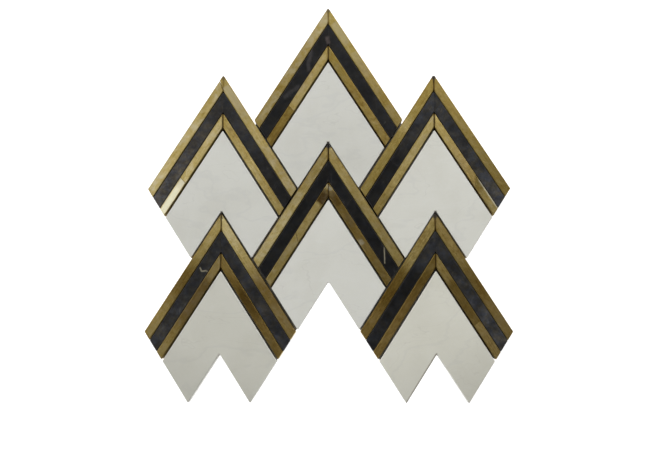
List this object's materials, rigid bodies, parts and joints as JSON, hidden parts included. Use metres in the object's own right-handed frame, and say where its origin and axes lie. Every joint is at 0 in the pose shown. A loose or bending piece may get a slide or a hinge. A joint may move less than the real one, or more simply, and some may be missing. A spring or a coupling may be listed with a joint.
{
  "type": "chevron mosaic tile sheet",
  "caption": "Mosaic tile sheet of interlocking marble chevrons edged with brass strips, on a mesh backing, with a notched outline that nests into the next sheet.",
  "frame": {"origin": "under the middle of the sheet's outline, on the plane that its back rests on", "axes": "+Z out of the finished face, +Y the way the chevrons point, +X to the right seen from the finished face"},
  "size_m": [0.274, 0.3002, 0.0108],
  "materials": {
    "white_marble": "honed white marble",
    "black_marble": "polished black marble with a few pale veins",
    "brass": "satin brass, slightly tarnished",
    "glass_fibre_mesh": "open glass-fibre net in clear adhesive"
  },
  "bodies": {
    "root": {"top_white_marble": "white_marble", "top_inner_brass_left": "brass", "top_black_marble_left": "black_marble", "top_outer_brass_left": "brass", "top_inner_brass_right": "brass", "top_black_marble_right": "black_marble", "top_outer_brass_right": "brass", "upper_left_white_marble": "white_marble", "upper_left_inner_brass_left": "brass", "upper_left_black_marble_left": "black_marble", "upper_left_outer_brass_left": "brass", "upper_left_inner_brass_right": "brass", "upper_left_black_marble_right": "black_marble", "upper_left_outer_brass_right": "brass", "upper_right_white_marble": "white_marble", "upper_right_inner_brass_left": "brass", "upper_right_black_marble_left": "black_marble", "upper_right_outer_brass_left": "brass", "upper_right_inner_brass_right": "brass", "upper_right_black_marble_right": "black_marble", "upper_right_outer_brass_right": "brass", "centre_white_marble": "white_marble", "centre_inner_brass_left": "brass", "centre_black_marble_left": "black_marble", "centre_outer_brass_left": "brass", "centre_inner_brass_right": "brass", "centre_black_marble_right": "black_marble", "centre_outer_brass_right": "brass", "lower_left_white_marble": "white_marble", "lower_left_inner_brass_left": "brass", "lower_left_black_marble_left": "black_marble", "lower_left_outer_brass_left": "brass", "lower_left_inner_brass_right": "brass", "lower_left_black_marble_right": "black_marble", "lower_left_outer_brass_right": "brass", "lower_right_white_marble": "white_marble", "lower_right_inner_brass_left": "brass", "lower_right_black_marble_left": "black_marble", "lower_right_outer_brass_left": "brass", "lower_right_inner_brass_right": "brass", "lower_right_black_marble_right": "black_marble", "lower_right_outer_brass_right": "brass", "top_inner_brass_left_end": "brass", "upper_left_inner_brass_left_end": "brass", "upper_right_inner_brass_right_end": "brass", "centre_inner_brass_left_end": "brass", "lower_right_inner_brass_right_end": "brass", "mesh_backing": "glass_fibre_mesh"}
  },
  "joints": []
}
